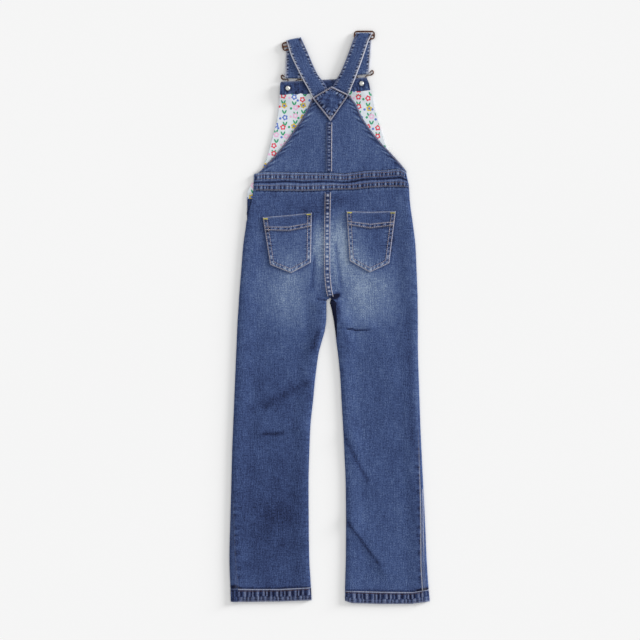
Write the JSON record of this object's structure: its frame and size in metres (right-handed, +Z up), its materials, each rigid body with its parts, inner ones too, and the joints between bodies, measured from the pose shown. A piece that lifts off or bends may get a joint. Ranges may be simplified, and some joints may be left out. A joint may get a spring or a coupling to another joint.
{
  "type": "denim overalls",
  "caption": "Child's denim bib overalls with straight legs, laid flat face down with the back on top and the straps up.",
  "frame": {"origin": "centre of the bounding box in plan, on the floor that the garment lies on", "axes": "+Y from the hems to the straps, +Z up from the floor through the front to the back, +X to the wearer's right"},
  "size_m": [0.3603, 1.0308, 0.0097],
  "materials": {
    "denim": "washed indigo twill",
    "denim_dark": "dark indigo twill",
    "denim_light": "worn indigo twill",
    "cotton_print": "small flower print",
    "antique_copper": "antique copper plate",
    "nickel": "polished"
  },
  "bodies": {
    "root": {"front_leg_left": "denim", "front_leg_right": "denim", "back_leg_left": "denim", "back_leg_right": "denim", "front_waistband": "denim", "back_waistband": "denim", "front_bib": "denim", "back_bib_left": "denim", "back_bib_right": "denim", "strap_left": "denim", "strap_right": "denim", "pocket_left": "denim", "pocket_right": "denim", "hem_front_left": "denim_dark", "hem_front_right": "denim_dark", "hem_back_left": "denim_dark", "hem_back_right": "denim_dark", "front_bib_facing": "denim_dark", "side_placket": "denim_dark", "back_bib_seam": "denim_light", "seat_seam": "denim_light", "strap_patch": "denim_light", "front_bib_lining": "cotton_print", "side_facing": "cotton_print", "slider_left": "antique_copper", "slider_right": "antique_copper", "buckle_left": "antique_copper", "buckle_right": "antique_copper", "button_left": "antique_copper", "button_right": "antique_copper", "rivet_left": "nickel", "rivet_right": "nickel"}
  },
  "joints": []
}
